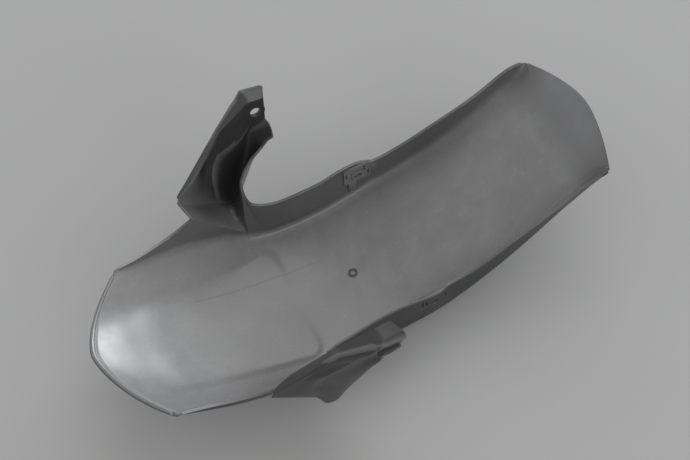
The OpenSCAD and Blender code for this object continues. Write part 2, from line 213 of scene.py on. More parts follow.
# The clips, and their slots as distance from the bore, lower end and upper end.
CLIP_ANGLE, CLIP_R, CLIP_LEN, CLIP_THICK, SLOT_W = 7.9, 277.0, 30.0, 1.5, 2.0
CLIP_IN, CLIP_TOP, CLIP_LOW, CLIP_TURN = CLIP_HALF - 1.2, 14.0, 12.0, 13.0
PAD_LEN, PAD_RISE, FINGER_W, FINGER_LEN = 13.0, 1.5, 9.0, 17.0
SLOTS_FAR = [(-12.3, -2, 9), (8.3, 2, 10.5), (12.3, -9, 7.5)]
SLOTS_NEAR = [(-12.6, -5, 11), (-8.6, -4, 10), (12.3, -2, 7)]
# The rounded corners: radius, and how far their cuts reach out and to each side.
CORNER_R, CORNER_OUT, CORNER_SIDE = 7.0, 8.0, 9.0
# The gate's ring, and its middle on the fender as it lies, in metres.
GATE_D, GATE_DEPTH, GATE_ANGLE, NUB_SHARE = 10.0, 0.8, 2.3, 0.225
GATE_AT = (-0.0003, 0.0, 0.00226)
# How the fender lies: tilt, and the place of the wheel axis.
REST_TILT, REST_X, REST_Z = 4.0, -10.347, 320.5
# Distances at which doubled points are merged, and angles at which edges are rounded or sharp.
BEVEL_MERGE, CUT_MERGE, THIN_EDGE = 0.03, 0.005, 0.01
BEVEL_ANGLE, SHARP_ANGLE = 60, 30
# Names of what the mesh carries: its inner skin, the share of chalky film at a point with the
# painted light and painted highlights in it, and the faces that get a painted highlight along the
# rims.
INNER_SKIN, HAZE_AND_PAINTED_LIGHT, RIM_HIGHLIGHT = "inner_skin", "haze_and_painted_light", "rim_highlight"


class Shell:
    """The fender's inner surface as a grid of stations, measured from the wheel axis."""

    def __init__(self):
        s = sizes()
        self.s = s
        self.degree = s.crown_r * math.pi / 180
        floor_r = s.crown_r - MIDDLE_ARCH
        self.crown_table = [
            [-s.front_angle, FRONT_ARCH, FOLD_R, 2.4],
            [-38, 0.5 * (FRONT_ARCH + SHOULDER_ARCH), FOLD_R, 3],
            [-30, SHOULDER_ARCH, FOLD_R, 3.4],
            [-22, 0.75 * SHOULDER_ARCH + 0.25 * MIDDLE_ARCH, FOLD_R, 3.4],
            [-14, MIDDLE_ARCH + 0.5, FOLD_R, 2.8],
            [20, MIDDLE_ARCH, FOLD_R, 2.2],
            [s.rear_angle, MIDDLE_ARCH - 2, 2 * FOLD_R, 2.2],
        ]
        self.fold_table = [
            [-s.front_angle, FRONT_HALF - 1],
            [-36, 0.3 * FRONT_HALF + 0.7 * SHOULDER_HALF],
            [-30, SHOULDER_HALF],
            [-22, SHOULDER_HALF],
            [-14, WAIST_HALF + 1.5],
            [-4, WAIST_HALF],
            [CLIP_ANGLE - 0.9, CLIP_HALF],
            [CLIP_ANGLE + 4.1, CLIP_HALF - 0.5],
            [22, 0.6 * CLIP_HALF + 0.4 * REAR_HALF],
            [36, REAR_HALF + 1],
            [s.rear_angle, REAR_HALF],
        ]
        self.front_rim = [
            [-s.front_angle, FRONT_HALF, s.crown_r - FRONT_ARCH - 2, -s.front_angle],
            [-40, FRONT_HALF + 4, s.crown_r - FRONT_ARCH - 12, -40],
            [-34, APEX_HALF - 6.5, s.crown_r - FRONT_ARCH - 26, -34],
            [APEX_A, APEX_HALF, s.crown_r - SHOULDER_ARCH - APEX_HEIGHT, APEX_A],
        ]
        self.apex = polar(APEX_HALF, s.crown_r - SHOULDER_ARCH - APEX_HEIGHT, APEX_A)
        self.keel_foot = vec(0.5 * (SHOULDER_HALF + WAIST_HALF) + 2.5, -87.5, 291)
        self.root_end = vec(WAIST_HALF + 13, -74, floor_r - 87)
        rim = self.root_rim(self.root_end)
        low = floor_r - WAIST_HEIGHT
        rear = floor_r - REAR_HEIGHT
        self.rear_rim = [
            [ROOT_END_A, rim[0], rim[1], rim[2]],
            [-12, WAIST_HALF + 7, floor_r - 62, -16.9],
            [-10.8, WAIST_HALF + 2.5, low - 1, -14.4],
            [-8.5, WAIST_HALF, low + 1.5, -10.6],
            [-4, WAIST_HALF - 1.8, low, -4.3],
            [0, WAIST_HALF - 2, low, 0],
            [CLIP_ANGLE - 2.9, CLIP_HALF - 0.8, CLIP_R - 20.5, CLIP_ANGLE - 2.9],
            [CLIP_ANGLE + 1.6, CLIP_HALF, CLIP_R - 14, CLIP_ANGLE + 1.6],
            [CLIP_ANGLE + 4.1, CLIP_HALF - 3.5, CLIP_R - 8, CLIP_ANGLE + 4.1],
            [18, CLIP_HALF - 4, low + 20.5, 18],
            [27, REAR_HALF + 5, rear - 12, 27],
            [36, REAR_HALF + 3, rear - 3, 36],
            [s.rear_angle - 4, REAR_HALF + 2, rear + 3, s.rear_angle - 4],
            [s.rear_angle - 1.7, REAR_HALF + 2, rear + 9, s.rear_angle - 1.7],
            [s.rear_angle, REAR_HALF + 2, floor_r, s.rear_angle],
        ]
        self.arm_in = s.arm_half - s.wall
        self.tip_front = vec(self.arm_in, -HOLE_AHEAD - 4, HOLE_DROP - 30)
        self.tip_rear = vec(self.arm_in - 0.5, -HOLE_AHEAD + 15, HOLE_DROP - 23.5)
        self.tip_low = vec(self.leaning(38), -HOLE_AHEAD + 6, HOLE_DROP + 13)
        self.ridge_line = [
            vec(109.5, -98, 257.5),
            vec(113, -94.5, 237),
            vec(113.2, -90.5, 215.5),
            vec(114.3, -84.5, 199.5),
            vec(117, -76.5, 190),
            vec(118.6, -63, 189.5),
            vec(120, -49.5, 185.5),
            vec(self.leaning(38), -36.5, 179.5),
            self.tip_low,
        ]
        self.lead_low = vec(103, -130.5, 211)
        self.lead_up = vec(104, -127, 204)
        self.lead_dot = vec(118, -64, 150.5)
        self.arm_edge = [
            self.root_end,
            vec(94, -71, 212),
            vec(100, -63, 206),
            vec(104.5, -52.5, 200),
            vec(108, -36, 193.5),
            vec(self.tip_low[0] - REAR_FLANGE, -24.5, 185),
        ]
        self.pocket_line = [
            vec(112.5 + 0.5 * s.pocket_depth, -84, 274),
            vec(self.leaning(46) + 0.4 * s.pocket_depth, -39, 189),
            vec(0.5 * (self.tip_low[0] + self.arm_edge[5][0]) + 1, -21.5, 184.5),
        ]
        self.crown_cols = list(np.linspace(0, 0.5, 9)) + list(np.linspace(0.53, 1, 17))
        self.bend_cols = [0.15, 0.32, 0.5, 0.68, 0.85, 1]
        self.wall_cols = list(np.linspace(0, 1, 10))[1:]
        self.main_cols = len(self.crown_cols) + len(self.bend_cols) + len(self.wall_cols)
        self.foot_cols = [0.06, 0.16, 0.28, 0.4, 0.52, 0.64, 0.76, 0.87, 0.95, 1]
        self.plate_cols = list(np.linspace(0, 1, 34))[1:]
        self.flange_cols = [0.1, 0.25, 0.45, 0.65, 0.85, 1]

    def leaning(self, low):
        return self.arm_in - low * math.tan(math.radians(self.s.tip_lean))

    @staticmethod
    def root_rim(p):
        return vec(p[0], math.hypot(p[1], p[2]), math.degrees(math.atan2(p[1], p[2])))

    def front_shift(self, a, share):
        """Degrees by which the front edge's curve moves a point ahead."""
        s = self.s
        turn = ease((-FRONT_FROM - a) / (s.front_angle - FRONT_FROM))
        return s.tip_ahead * (1 - share**FRONT_SWEEP) * turn

    def rear_shift(self, a, share):
        """Degrees by which the rear edge's curve moves a point back."""
        s = self.s
        turn = ease((a - REAR_FROM) / (s.rear_angle - REAR_FROM))
        return s.tail_behind * (1 - share**REAR_SWEEP) * turn

    def panel(self, x, a):
        """Share of the panel's depth at a half width and an angle."""
        side = PANEL_HALF + (a + PANEL_END) * PANEL_TAPER
        to_rear = (-PANEL_END - a) * self.degree
        short_side = max(PANEL_CORNER - (side - x), 0)
        short_rear = max(PANEL_CORNER - to_rear, 0)
        inside = PANEL_CORNER - math.hypot(short_side, short_rear)
        middle = PANEL_MIDDLE * ease(to_rear / PANEL_FADE)
        return (ease(inside / PANEL_STEP + 0.5) * ease((a + self.s.front_angle) / PANEL_FRONT)
                * lerp(middle, 1, clamp(x / side) ** 2))

    def row(self, a, rim):
        """One station, from the centre line out to the rim point."""
        s = self.s
        section = curve(self.crown_table, a)
        half = curve(self.fold_table, a)[1]
        corner = vec(half, s.crown_r - section[1])
        out = vec(rim[0], rim[1]) - corner
        bend = min(section[2], 0.6 * np.linalg.norm(out))
        flat = half - bend
        top = vec(flat, s.crown_r - section[1] * (flat / half) ** section[3])
        low = corner + unit(out) * bend
        turn = bend / max(np.linalg.norm(out), 1e-6)
        points = []
        for c in self.crown_cols:
            x = c * flat
            share = x / half
            angle = a - self.front_shift(a, share) + self.rear_shift(a, share)
            r = s.crown_r - section[1] * share ** section[3] + s.panel_depth * self.panel(x, angle)
            points.append(polar(x, r, angle))
        for c in self.bend_cols:
            p = lerp(lerp(top, corner, c), lerp(corner, low, c), c)
            share = min(1.0, flat / half + c * (1 - flat / half))
            angle = lerp(a, rim[2], c * turn) - self.front_shift(a, share)
            points.append(polar(p[0], p[1], angle + self.rear_shift(a, share)))
        for c in self.wall_cols:
            p = lerp(low, vec(rim[0], rim[1]), c)
            points.append(polar(p[0], p[1], lerp(a, rim[2], turn + c * (1 - turn))))
        return points

    def ridge(self, t):
        return chain(self.ridge_line, RIDGE_SHARES, t)

    def pocket(self, t):
        return chain(self.pocket_line, [0, 0.88, 1], t)

    @staticmethod
    def bowed(a, through, b, c):
        pull = 2 * through - 0.5 * (a + b)
        return lerp(lerp(a, pull, c), lerp(pull, b, c), c)

    def lead_edge(self, c):
        return chain([self.lead_up, self.lead_dot, self.tip_front, self.tip_rear, self.tip_low],
                     [0, 0.36, 0.6, FLANGE_END, 1], c)

    def flange_at(self, c):
        """How far the flange runs in, back and down from the leading edge."""
        return vec(
            look_up(c, [[0, 0.3], [0.04, 3], [0.12, FLANGE_DEPTH], [0.36, FLANGE_DEPTH],
                        [0.6, TIP_DEPTH], [1, TIP_DEPTH]]),
            look_up(c, [[0, 0], [0.6, 0], [FLANGE_END, TIP_SLANT]]),
            look_up(c, [[0, 0], [0.6, 0], [FLANGE_END, TIP_SLANT * 0.6]]))

    def plate(self, c, t):
        """The arm's plate, which bends only near the pocket."""
        low = self.ridge_line[0]
        return (lerp(lerp(self.lead_low, low, c), self.lead_edge(c), t)
                + (self.ridge(t) - lerp(low, self.tip_low, t)) * c**RIDGE_PULL)

    def plate_row(self, c):
        """The arm's lower facet, its plate and the flange along its leading edge."""
        root = lerp(self.apex, self.keel_foot, c)
        ridge = lerp(self.lead_low, self.ridge_line[0], c)
        points = [lerp(root, ridge, t) for t in self.foot_cols]
        points += [self.plate(c, t) for t in self.plate_cols]
        if c <= FLANGE_END:
            points += [self.lead_edge(c) - self.flange_at(c) * t for t in self.flange_cols]
        return points

    def edge_at(self, t):
        return chain(self.arm_edge, [0, 0.12, 0.3, 0.5, 0.78, 1], t)

    def rear_row(self, c):
        """The pocket, one bowed sheet from the ridge to the arm's free edge."""
        points = []
        for t in self.foot_cols:
            a = lerp(self.keel_foot, self.ridge_line[0], t)
            b = lerp(self.root_end, self.edge_at(0.12), t)
            points.append(self.bowed(a, lerp(0.5 * (a + b), self.pocket_line[0], t**1.5), b, c))
        for t in self.plate_cols:
            edge = self.edge_at(0.12 + 0.88 * t)
            points.append(self.bowed(self.ridge(t), self.pocket(t), edge, c))
        return points

    def rows(self):
        """All stations from front to rear, with the share of bead and the lip at each."""
        s = self.s
        out = []
        bead = []
        front = [-s.front_angle + c * BEAD_WIDTH / self.degree
                 for c in (0, 0.15, 0.35, 0.5, 0.6, 0.7, 0.85, 1, 1.15)]
        front += list(np.linspace(-43.0, -29.3, 24))
        for a in front:
            rim = curve(self.front_rim, a)
            out.append(self.row(a, rim[1:]))
            widths = (a + s.front_angle) * self.degree / BEAD_WIDTH
            bead.append(ease((BEAD_END - widths) / BEAD_FALL))
        spans = ((0, 0.36, 13), (0.36, 0.6, 10), (0.6, FLANGE_END, 8), (FLANGE_END, 1, 9))
        breaks = sorted({c for span in spans for c in np.linspace(*span)})
        for c in breaks:
            root = self.root_rim(lerp(self.apex, self.keel_foot, c))
            out.append(self.row(lerp(APEX_A, KEEL_A, c), root) + self.plate_row(c))
            bead.append(0)
        for c in np.linspace(0, 1, 13)[1:]:
            root = self.root_rim(lerp(self.keel_foot, self.root_end, c))
            out.append(self.row(lerp(KEEL_A, ROOT_END_A, c), root) + self.rear_row(c))
            bead.append(0)
        rear = list(np.linspace(-12.7, -9, 9)) + list(np.linspace(-8.6, s.rear_angle - 5, 74))
        rear += list(np.linspace(s.rear_angle - 4.5, s.rear_angle, 11))
        for a in rear:
            rim = curve(self.rear_rim, a)
            out.append(self.row(a, rim[1:]))
            bead.append(0)
        lip = [look_up((a + s.front_angle) * self.degree / BEAD_WIDTH, LIP) for a in front]
        return out, np.array(bead), np.array(lip + [0] * (len(out) - len(lip)))


def grid_of(rows):
    width = max(len(r) for r in rows)
    grid = np.full((len(rows), width, 3), np.nan)
    for i, r in enumerate(rows):
        grid[i, :len(r)] = r
    return grid


def rounded(grid, first, passes):
    """Averages the arm's stations with their neighbours, which rounds its ridges."""
    for _ in range(passes):
        new = grid.copy()
        mid = grid[1:-1, 1:-1]
        mean = 0.25 * (grid[:-2, 1:-1] + grid[2:, 1:-1] + grid[1:-1, :-2] + grid[1:-1, 2:])
        blend = 0.5 * mid + 0.5 * mean
        ok = ~np.isnan(blend[..., 0])
        ok[:, :first - 1] = False
        new[1:-1, 1:-1][ok] = blend[ok]
        grid = new
    return grid


def thicken(grid, thickness):
    """Offsets every station along its wall's direction, and further at a ridge."""
    a, b = grid[:-1, :-1], grid[:-1, 1:]
    c, d = grid[1:, 1:], grid[1:, :-1]
    n = np.cross(b - d, c - a)
    n /= np.maximum(np.linalg.norm(n, axis=2, keepdims=True), 1e-9)
    rows, cols = grid.shape[:2]
    total = np.zeros((rows, cols, 3))
    parts = []
    for di, dj in ((0, 0), (1, 0), (0, 1), (1, 1)):
        full = np.full((rows, cols, 3), np.nan)
        full[di:rows - 1 + di, dj:cols - 1 + dj] = n
        parts.append(full)
        total += np.nan_to_num(full)
    total[:, 0, 0] = 0
    total /= np.maximum(np.linalg.norm(total, axis=2, keepdims=True), 1e-9)
    lean = np.full((rows, cols), 1.0)
    for full in parts:
        dot = (full * total).sum(axis=2)
        lean = np.fmin(lean, dot)
    return grid + total * (thickness / np.maximum(lean, MIN_LEAN))[..., None]


def lie(points, side):
    """From the wheel axis frame to the frame in which the fender lies, in metres."""
    r = math.radians(REST_TILT)
    p = np.asarray(points, float)
    return np.stack([
        (p[..., 1] * math.cos(r) + p[..., 2] * math.sin(r) + REST_X) * MM,
        side * p[..., 0] * MM,
        (p[..., 1] * math.sin(r) - p[..., 2] * math.cos(r) + REST_Z) * MM], axis=-1)


def shell_mesh(inner, outer):
    """Closes the two skins and their mirror images into one wall."""
    rows, cols = inner.shape[:2]
    have = ~np.isnan(inner[..., 0])
    index = {}
    verts = []

    def vid(skin, side, i, j):
        key = (skin, 1 if j == 0 else side, i, j)
        if key not in index:
            index[key] = len(verts)
            verts.append(lie((inner, outer)[skin][i, j], key[1]))
        return index[key]

    faces = []
    edges = {}
    for side in (1, -1):
        for i in range(rows - 1):
            for j in range(cols - 1):
                if not (have[i, j] and have[i + 1, j] and have[i, j + 1] and have[i + 1, j + 1]):
                    continue
                loop = [(i, j), (i, j + 1), (i + 1, j + 1), (i + 1, j)]
                if side < 0:
                    loop.reverse()
                low = [vid(0, side, *p) for p in loop]
                top = [vid(1, side, *p) for p in loop]
                faces.append(low[::-1])
                faces.append(top)
                for k in range(4):
                    pair = (top[k], top[(k + 1) % 4])
                    edges[pair] = (low[k], low[(k + 1) % 4])
    for (a, b), (c, d) in edges.items():
        if (b, a) not in edges:
            faces.append([b, a, c, d])
    mesh = bpy.data.meshes.new("fender_shell")
    mesh.from_pydata([tuple(v) for v in verts], [], faces)
    mesh.validate()
    mesh.update()
    skin = mesh.attributes.new(INNER_SKIN, "FLOAT", "POINT")
    skin.data.foreach_set("value", [1.0 if key[0] == 0 else 0.0 for key in index])
    return mesh


def point_tree(points):
    tree = KDTree(len(points))
    for i, co in enumerate(points):
        tree.insert(co, i)
    tree.balance()
    return tree


def rim_points(mesh, step=0.7):
    """Points close together along the rims, on the inner skin's edge."""
    bm = bmesh.new()
    bm.from_mesh(mesh)
    layer = bm.verts.layers.float[INNER_SKIN]
    out = []
    for edge in bm.edges:
        a, b = edge.verts
        if a[layer] < 0.5 or b[layer] < 0.5:
            continue
        if all(all(v[layer] > 0.5 for v in face.verts) for face in edge.link_faces):
            continue
        count = max(1, int(edge.calc_length() / (step * MM)))
        out += [a.co.lerp(b.co, k / count) for k in range(count)]
    bm.free()
    return point_tree(out)


def new_object(name, mesh):
    obj = bpy.data.objects.new(name, mesh)
    bpy.context.scene.collection.objects.link(obj)
    return obj


def apply_modifiers(obj):
    bpy.context.view_layer.update()
    graph = bpy.context.evaluated_depsgraph_get()
    mesh = bpy.data.meshes.new_from_object(obj.evaluated_get(graph))
    obj.modifiers.clear()
    old = obj.data
    obj.data = mesh
    bpy.data.meshes.remove(old)
    return obj


def welded(obj, gap):
    """Merges the slivers that a bevel or a cut leaves, so that the mesh stays closed."""
    bm = bmesh.new()
    bm.from_mesh(obj.data)
    bmesh.ops.remove_doubles(bm, verts=bm.verts[:], dist=gap * MM)
    bmesh.ops.dissolve_degenerate(bm, edges=bm.edges[:], dist=THIN_EDGE * MM)
    bm.to_mesh(obj.data)
    bm.free()
    return obj


def on_axis_matrix(side):
    """From the wheel axis, Z up, to one side of the fender as it lies."""
    r = math.radians(REST_TILT)
    turn = Matrix.Rotation(-r, 4, "Y")
    flip = Matrix.Diagonal((1, side, 1, 1))
    return Matrix.Translation((REST_X * MM, 0, REST_Z * MM)) @ turn @ flip


def skinned(bm, rings):
    """Joins rings of points into one closed solid."""
    count = len(rings[0])
    for low, top in zip(rings, rings[1:]):
        for k in range(count):
            n = (k + 1) % count
            bm.faces.new((low[k], low[n], top[n], top[k]))
    bm.faces.new(rings[0][::-1])
    bm.faces.new(rings[-1])


def turned(profile, segments=64):
    """A solid of revolution round Z from (radius, height) pairs, in millimetres."""
    bm = bmesh.new()
    rings = []
    for radius, height in profile:
        rings.append([bm.verts.new((radius * math.cos(a) * MM, radius * math.sin(a) * MM,
                                    height * MM))
                      for a in np.linspace(0, 2 * math.pi, segments, endpoint=False)])
    skinned(bm, rings)
    bm.normal_update()
    return bm


def block(x, width, y0, y1, z0, z1, bevel=0.0):
    """A moulded block with rounded edges, in millimetres."""
    bm = bmesh.new()
    bmesh.ops.create_cube(bm, size=1.0)
    bm.transform(Matrix.Diagonal((width * MM, (y1 - y0) * MM, (z1 - z0) * MM, 1)))
    bm.transform(Matrix.Translation((x * MM, (y0 + y1) / 2 * MM, (z0 + z1) / 2 * MM)))
    if bevel > 0:
        bmesh.ops.bevel(bm, geom=bm.edges[:], offset=bevel * MM, segments=3, profile=0.5,
                        affect="EDGES")
    return bm


def placed(name, bm, matrix):
    """A solid set at its place, with its faces outward also where it is mirrored."""
    bm.transform(matrix)
    if matrix.determinant() < 0:
        bmesh.ops.reverse_faces(bm, faces=bm.faces[:])
    mesh = bpy.data.meshes.new(name)
    bm.to_mesh(mesh)
    bm.free()
    return new_object(name, mesh)


def joined(name, objects):
    """Solids that stand apart from one another, as one object."""
    bm = bmesh.new()
    for obj in objects:
        bm.from_mesh(obj.data)
        bpy.data.objects.remove(obj)
    mesh = bpy.data.meshes.new(name)
    bm.to_mesh(mesh)
    bm.free()
    return new_object(name, mesh)


def combine(obj, other, operation):
    mod = obj.modifiers.new(operation, "BOOLEAN")
    mod.operation = operation
    mod.solver = "EXACT"
    mod.object = other
    apply_modifiers(obj)
    bpy.data.objects.remove(other)
    return obj


def clip_place(side):
    """The middle of one clip's bore, turned as the clip is: X to the rear, Z up to the rim."""
    swing = Matrix.Rotation(math.radians(-CLIP_ANGLE), 4, "Y")
    at = Matrix.Translation((0, 0, -CLIP_R * MM))
    return on_axis_matrix(side) @ swing @ at @ Matrix.Rotation(math.radians(CLIP_TURN), 4, "Y")


def clip_solid(side):
    """The frame of one clip with its pad round the bore and its finger."""
    place = clip_place(side)
    sink = CLIP_IN + 0.6 * sizes().wall
    frame_block = block(0, CLIP_LEN, CLIP_IN - CLIP_THICK, sink, -CLIP_LOW, CLIP_TOP, 0.4)
    pad = block(0, PAD_LEN, CLIP_IN - CLIP_THICK - PAD_RISE, sink, -PAD_LEN / 2, PAD_LEN / 2, 0.6)
    finger = block(FINGER_W - CLIP_LEN / 2, FINGER_W, CLIP_IN - CLIP_THICK, sink,
                   -CLIP_LOW - FINGER_LEN, -CLIP_LOW + 1, 0.4)
    obj = placed("clip", frame_block, place)
    combine(obj, placed("pad", pad, place), "UNION")
    return combine(obj, placed("finger", finger, place), "UNION")


def clip_cutters(side):
    """The bore and the slots of one clip."""
    place = clip_place(side)
    lead = CLIP_THICK + 2 * PAD_RISE
    face = CLIP_THICK + PAD_RISE
    r = sizes().clip_bore / 2
    through = 3 * sizes().wall
    bore = turned([(r + 0.5, lead - face - 0.3), (r, lead - face + 0.5), (r, lead + through)])
    at = Matrix.Translation((0, (CLIP_IN - lead) * MM, 0))
    outward = Matrix.Rotation(math.radians(-90), 4, "X")
    out = [placed("bore", bore, place @ at @ outward)]
    for x, low, high in SLOTS_FAR if side > 0 else SLOTS_NEAR:
        slot = block(x, SLOT_W, CLIP_IN - lead, CLIP_IN + through, low, high)
        out.append(placed("slot", slot, place))
    return out


def corner_cutters(inner):
    """Cuts that round the four corners where the front and rear edges meet the rims."""
    out = []
    for i, step in ((0, 1), (len(inner) - 1, -1)):
        last = int(np.sum(~np.isnan(inner[i, :, 0]))) - 1
        for side in (1, -1):
            corner = lie(inner[i, last], side) / MM
            across = unit(lie(inner[i, last - 2], side) / MM - corner)
            along = unit(lie(inner[i + 7 * step, last], side) / MM - corner)
            half = 0.5 * math.acos(float(across @ along))
            run = CORNER_R / math.tan(half)
            middle = corner + unit(across + along) * CORNER_R / math.sin(half)
            normal = unit(np.cross(across, along))
            first = corner + across * run - middle
            side_way = unit(np.cross(normal, first))
            if unit(corner + along * run - middle) @ side_way < 0:
                side_way = -side_way
            reach = CORNER_R / math.sin(half) + CORNER_OUT
            profile = ((CORNER_R, -CORNER_SIDE), (reach, -CORNER_SIDE), (reach, CORNER_SIDE),
                       (CORNER_R, CORNER_SIDE))
            bm = bmesh.new()
            rings = []
            for a in np.linspace(0, math.pi - 2 * half, 13):
                way = unit(first) * math.cos(a) + side_way * math.sin(a)
                rings.append([bm.verts.new((middle + way * r + normal * h) * MM)
                              for r, h in profile])
            skinned(bm, rings)
            bmesh.ops.recalc_face_normals(bm, faces=bm.faces[:])
            out.append(placed("corner", bm, Matrix.Identity(4)))
    return out


def ridge_highlight_points(shell, outer):
    """Points along the ridges of both arms, where a painted highlight stands for the light on the
    rounded ridges.
    """
    runs = [shell.ridge(t) for t in np.linspace(0, 0.8, 160)]
    runs += [lerp(shell.keel_foot, shell.ridge_line[0], t) for t in np.linspace(0.05, 1, 40)]
    col = shell.main_cols + len(shell.foot_cols) + len(shell.plate_cols) - 1
    lead = [p for p in outer[:, col] if not np.isnan(p[0])]
    tip = [p for p in lead if p[2] < HOLE_DROP - 10]
    for a, b in zip(tip, tip[1:]):
        if np.linalg.norm(b - a) < 12:
            runs += [lerp(a, b, t) for t in np.linspace(0, 1, 8)]
    return [Vector(lie(p, side)) for p in runs for side in (1, -1)]


def seat_place(shell, side):
    """Where the bolt seat's axis crosses the middle of the arm's wall, with the tip's lean."""
    seat_in = shell.leaning(HOLE_DROP - shell.tip_front[2]) + 0.4
    middle = seat_in + 0.5 * sizes().wall
    at = Matrix.Translation((-HOLE_AHEAD * MM, middle * MM, -HOLE_DROP * MM))
    turn = Matrix.Rotation(math.radians(-90 - sizes().tip_lean), 4, "X")
    return on_axis_matrix(side) @ at @ turn


def seat_solid(shell, side):
    top = 0.5 * sizes().wall + SEAT_HEIGHT
    r = SEAT_D / 2
    profile = [(r, 0), (r, top - 0.5), (r - 0.15, top - 0.15), (r - 0.5, top)]
    bm = turned(profile, BORE_SEGMENTS)
    return placed("seat", bm, seat_place(shell, side))


def seat_cutter(shell, side):
    wall = sizes().wall
    top = 0.5 * wall + SEAT_HEIGHT
    r = sizes().arm_bore / 2
    bm = turned([(r, -2 * wall), (r, top - 0.4), (r + 0.7, top + 0.3)], BORE_SEGMENTS)
    return placed("hole", bm, seat_place(shell, side))


def gate_cutter():
    """The ring that the gate leaves, sunk into the crown's inner face."""
    low = -sizes().crown_r - GATE_DEPTH
    ring_r, nub_r = GATE_D / 2, NUB_SHARE * GATE_D
    ring = turned([(ring_r - 0.3, low), (ring_r, low + 0.4), (ring_r, low + 4 * GATE_DEPTH)])
    nub = turned([(nub_r, low - 1), (nub_r, low + 6 * GATE_DEPTH)], 48)
    place = on_axis_matrix(1) @ Matrix.Rotation(math.radians(GATE_ANGLE), 4, "Y")
    return combine(placed("gate", ring, place), placed("nub", nub, place), "DIFFERENCE")


# Marks of the chalky film and of the painted light on the walls, each as the value where it starts
# to change and how far the change runs.
CROWN_FACING, CROWN_BAND = (0.05, 0.45), (-60, 40)
REAR_FADE, SHOULDER_FADE, TAIL_FADE = (2, 14), (40, 30), (43, 5)
WALL_FACING, WALL_END = (0.25, 0.4), (112, 8)
CLIP_ROUND, CLIP_FACE = (23, 4), (CLIP_IN - 0.3, 0.5)
# Shares of the chalky film lost or left, of the painted light on the walls with more on the clips'
# faces, and of the painted highlight on the ridges; and the reach of the painted highlights in
# millimetres.
SHOULDER_LOSS, TAIL_LOSS, WALL_PAINTED_LIGHT, CLIP_SHARE, RIDGE_HIGHLIGHT = 0.3, 0.4, 0.5, 0.4, 0.4
RIDGE_HIGHLIGHT_REACH, RIM_HIGHLIGHT_REACH = 2.2, 0.8


def rise(value, mark):
    """From 0 at a mark's start to 1 where it ends."""
    return np.clip((value - mark[0]) / mark[1], 0, 1)


def fall(value, mark):
    """From 1 to 0 on the way up to a mark's start."""
    return np.clip((mark[0] - value) / mark[1], 0, 1)


def vectors(vertices, name):
    """One vector of every vertex, as rows of three."""
    out = np.empty(len(vertices) * 3)
    vertices.foreach_get(name, out)
    return out.reshape(-1, 3)


def haze_and_light_shares(co, normal):
    """How thick the chalky film is at each point: full on the crown's inner face, less on walls,
    where it is painted light that lifts walls turned away from the light.
    """
    inward = np.stack([REST_X - co[:, 0], np.zeros(len(co)), REST_Z - co[:, 2]], axis=1)
    radius = np.linalg.norm(inward, axis=1)
    inward /= radius[:, None]
    half = np.abs(co[:, 1])
    angle = np.degrees(np.arctan2(-inward[:, 0], inward[:, 2]))
    facing = rise(np.einsum("ij,ij->i", normal, inward), CROWN_FACING)
    crown = facing * facing * (3 - 2 * facing) * rise(radius - sizes().crown_r, CROWN_BAND)
    crown *= 1 - rise(angle, REAR_FADE) * (SHOULDER_LOSS * rise(half, SHOULDER_FADE)
                                           + TAIL_LOSS * rise(angle, TAIL_FADE))
    # Painted light: the walls' inner faces get a share of the pale film, which lifts them where
    # they face away from the light.
    wall = rise(-normal[:, 1] * np.sign(co[:, 1]), WALL_FACING) * fall(half, WALL_END)
    middle = np.array(clip_place(1).translation) / MM
    near = np.hypot(co[:, 0] - middle[0], co[:, 2] - middle[2])
    on_clip = fall(near, CLIP_ROUND) * fall(half, CLIP_FACE)
    return np.maximum(crown, wall * (WALL_PAINTED_LIGHT + CLIP_SHARE * on_clip))


def paint_haze_and_light(mesh, edge, ridges):
    """Keeps on the mesh how hazy each point is, with painted highlights along the arms' ridges, and
    which faces get a painted highlight along the rims.
    """
    share = haze_and_light_shares(vectors(mesh.vertices, "co") / MM, vectors(mesh.vertices, "normal"))
    ridge = point_tree(ridges)
    # Painted highlight: points near the arms' ridges take a pale share, standing for light on the
    # rounded ridges.
    for i, vert in enumerate(mesh.vertices):
        if ridge.find(vert.co)[2] < RIDGE_HIGHLIGHT_REACH * MM:
            share[i] = max(share[i], RIDGE_HIGHLIGHT)
    layer = mesh.attributes.new(HAZE_AND_PAINTED_LIGHT, "FLOAT", "POINT")
    layer.data.foreach_set("value", share)
    # Painted highlight: faces near the rims are marked to be made pale, standing for light on the
    # rounded rims.
    layer = mesh.attributes.new(RIM_HIGHLIGHT, "FLOAT", "FACE")
    rim_highlight = [1.0 if edge.find(face.center)[2] < RIM_HIGHLIGHT_REACH * MM else 0.0 for face in mesh.polygons]
    layer.data.foreach_set("value", rim_highlight)
    skin = mesh.attributes.get(INNER_SKIN)
    if skin:
        mesh.attributes.remove(skin)


def node(tree, kind, inputs=None, **settings):
    """A shader node with its settings and its unlinked inputs by name or place."""
    made = tree.nodes.new(kind)
    for name, value in settings.items():
        setattr(made, name, value)
    for name, value in (inputs or {}).items():
        if isinstance(value, bpy.types.NodeSocket):
            tree.links.new(value, made.inputs[name])
        else:
            made.inputs[name].default_value = value
    return made


def noise(tree, vector, scale, detail=2.0, roughness=0.5):
    made = node(tree, "ShaderNodeTexNoise", {"Vector": vector, "Scale": scale, "Detail": detail,
                                             "Roughness": roughness})
    return made.outputs["Fac"]


def spread(tree, value, low, high, to_low, to_high):
    """A value read between two marks and given back between two others."""
    made = node(tree, "ShaderNodeMapRange", {"Value": value, "From Min": low, "From Max": high,
                                             "To Min": to_low, "To Max": to_high},
                interpolation_type="SMOOTHSTEP")
    return made.outputs["Result"]


def maths(tree, operation, *values):
    made = node(tree, "ShaderNodeMath", dict(enumerate(values)), operation=operation)
    return made.outputs["Value"]


